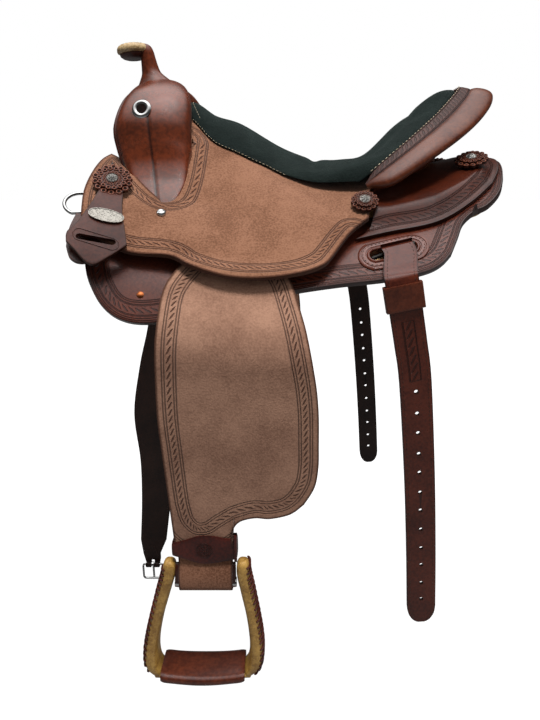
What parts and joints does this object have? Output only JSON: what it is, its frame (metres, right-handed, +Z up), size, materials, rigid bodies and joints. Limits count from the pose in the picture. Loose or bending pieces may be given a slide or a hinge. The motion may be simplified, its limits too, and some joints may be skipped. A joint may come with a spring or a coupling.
{
  "type": "western trail saddle",
  "caption": "Western trail saddle: padded suede seat, rough-out jockeys and fenders, rawhide-covered stirrups, tooled skirts, rear billets and a hanging rear cinch.",
  "frame": {"origin": "where the middle of the saddle rests on a horse's back or a rack; the skirts' top there is at z = 0", "axes": "+Z up, -X toward the horse's head, -Y the rider's left (near) side"},
  "size_m": [0.6324, 0.651, 1.0789],
  "materials": {
    "smooth_leather": "satin",
    "rough_leather": "matte",
    "fender_leather": "matte",
    "tooled_leather": "satin",
    "dark_leather": "satin",
    "hobble_leather": "satin",
    "tread_leather": "gloss",
    "suede": "matte",
    "fleece": "matte",
    "wood": "matte",
    "horn_rawhide": "satin",
    "stirrup_rawhide": "satin",
    "steel": "polished",
    "silver": "satin"
  },
  "bodies": {
    "saddle": {"tree_bar_near": "wood", "tree_bar_off": "wood", "tree_fork": "wood", "tree_cantle": "wood", "ground_seat": "steel", "rigging_pin_near": "steel", "rigging_pin_off": "steel", "concho_front_near": "silver", "concho_front_off": "silver", "seat_pad": "suede", "horn_neck": "smooth_leather", "fork_cover": "smooth_leather", "cheyenne_roll": "smooth_leather", "cantle_back": "smooth_leather", "cinch_hanger": "smooth_leather", "ring_clip_near": "smooth_leather", "ring_clip_off": "smooth_leather", "seat_jockey_near": "rough_leather", "seat_jockey_off": "rough_leather", "cantle_binding": "tooled_leather", "rear_jockey_near": "tooled_leather", "rear_jockey_off": "tooled_leather", "skirt_near": "tooled_leather", "skirt_off": "tooled_leather", "rosette_front_near": "tooled_leather", "rosette_front_off": "tooled_leather", "rosette_middle_near": "tooled_leather", "rosette_middle_off": "tooled_leather", "rosette_rear_near": "tooled_leather", "rosette_rear_off": "tooled_leather", "fleece_near": "fleece", "fleece_off": "fleece", "horn_cap": "horn_rawhide"},
    "latigo_keeper": {"latigo_keeper": "smooth_leather", "keeper_plate": "silver"},
    "cinch": {"cinch_ring": "steel", "rear_cinch": "dark_leather"},
    "cinch_buckle": {"cinch_buckle": "steel"},
    "cinch_tongue": {"cinch_tongue": "steel"},
    "breast_ring_near": {"breast_ring_near": "steel"},
    "fender_top_near": {"fender_top_near": "fender_leather"},
    "fender_near": {"fender_near": "fender_leather", "stirrup_leather_near": "fender_leather", "hobble_strap_near": "hobble_leather"},
    "stirrup_near": {"stirrup_frame_near": "stirrup_rawhide", "stirrup_bolt_near": "steel", "stirrup_tread_near": "tread_leather"},
    "billet_near": {"rear_billet_near": "tooled_leather"},
    "billet_keeper_near": {"billet_keeper_near": "tooled_leather"},
    "breast_ring_off": {"breast_ring_off": "steel"},
    "fender_top_off": {"fender_top_off": "fender_leather"},
    "fender_off": {"fender_off": "fender_leather", "stirrup_leather_off": "fender_leather", "hobble_strap_off": "hobble_leather"},
    "stirrup_off": {"stirrup_frame_off": "stirrup_rawhide", "stirrup_bolt_off": "steel", "stirrup_tread_off": "tread_leather"},
    "billet_off": {"rear_billet_off": "tooled_leather"},
    "billet_keeper_off": {"billet_keeper_off": "tooled_leather"}
  },
  "joints": [
    {"name": "fender_swing_near", "type": "hinge", "parent": "saddle", "child": "fender_top_near", "pos_m": [-0.0741, -0.2642, -0.1115], "axis": [0, -0.7795, 0.6264], "range_deg": [-15, 10]},
    {"name": "fender_swing_off", "type": "hinge", "parent": "saddle", "child": "fender_top_off", "pos_m": [-0.0741, 0.2642, -0.1115], "axis": [0, -0.7795, -0.6264], "range_deg": [-10, 10]},
    {"name": "fender_lift_near", "type": "hinge", "parent": "fender_top_near", "child": "fender_near", "pos_m": [-0.055, -0.2672, -0.1115], "axis": [-0.9976, -0.0692, 0], "range_deg": [0, 75]},
    {"name": "fender_lift_off", "type": "hinge", "parent": "fender_top_off", "child": "fender_off", "pos_m": [-0.055, 0.2672, -0.1115], "axis": [0.9976, -0.0692, 0], "range_deg": [0, 75]},
    {"name": "stirrup_turn_near", "type": "hinge", "parent": "fender_near", "child": "stirrup_near", "pos_m": [-0.0905, -0.3005, -0.46], "axis": [1, 0, 0], "range_deg": [-45, 45]},
    {"name": "stirrup_turn_off", "type": "hinge", "parent": "fender_off", "child": "stirrup_off", "pos_m": [-0.0905, 0.3005, -0.46], "axis": [-1, 0, 0], "range_deg": [-45, 45]},
    {"name": "billet_swing_near", "type": "hinge", "parent": "saddle", "child": "billet_near", "pos_m": [0.134, -0.2125, -0.0686], "axis": [-0.9216, -0.2434, -0.3025], "range_deg": [0, 60]},
    {"name": "billet_swing_off", "type": "hinge", "parent": "saddle", "child": "billet_off", "pos_m": [0.134, 0.2125, -0.0686], "axis": [0.9216, -0.2434, 0.3025], "range_deg": [0, 60]},
    {"name": "keeper_slide_near", "type": "slide", "parent": "billet_near", "child": "billet_keeper_near", "axis": [0.2024, 0.0405, -0.9785], "range_m": [0, 0.03]},
    {"name": "keeper_slide_off", "type": "slide", "parent": "billet_off", "child": "billet_keeper_off", "axis": [0.2024, -0.0405, -0.9785], "range_m": [0, 0.03]},
    {"name": "ring_lift_near", "type": "hinge", "parent": "saddle", "child": "breast_ring_near", "pos_m": [-0.2249, -0.1932, -0.0204], "axis": [0.1453, 0.8259, 0.5448], "range_deg": [0, 22]},
    {"name": "ring_lift_off", "type": "hinge", "parent": "saddle", "child": "breast_ring_off", "pos_m": [-0.2249, 0.1932, -0.0204], "axis": [-0.1453, 0.8259, -0.5448], "range_deg": [0, 22]},
    {"name": "latigo_flap", "type": "hinge", "parent": "saddle", "child": "latigo_keeper", "pos_m": [-0.2, -0.1849, 0.0021], "axis": [-0.9725, 0, 0.233], "range_deg": [0, 50]},
    {"name": "cinch_swing", "type": "hinge", "parent": "saddle", "child": "cinch", "pos_m": [-0.245, 0.262, -0.052], "axis": [1, 0, 0], "range_deg": [0, 60]},
    {"name": "buckle_swing", "type": "hinge", "parent": "cinch", "child": "cinch_buckle", "pos_m": [-0.297, 0.262, -0.838], "axis": [1, 0, 0], "range_deg": [0, 40]},
    {"name": "tongue_swing", "type": "hinge", "parent": "cinch_buckle", "child": "cinch_tongue", "pos_m": [-0.297, 0.262, -0.838], "axis": [1, 0, 0], "range_deg": [0, 60]}
  ]
}
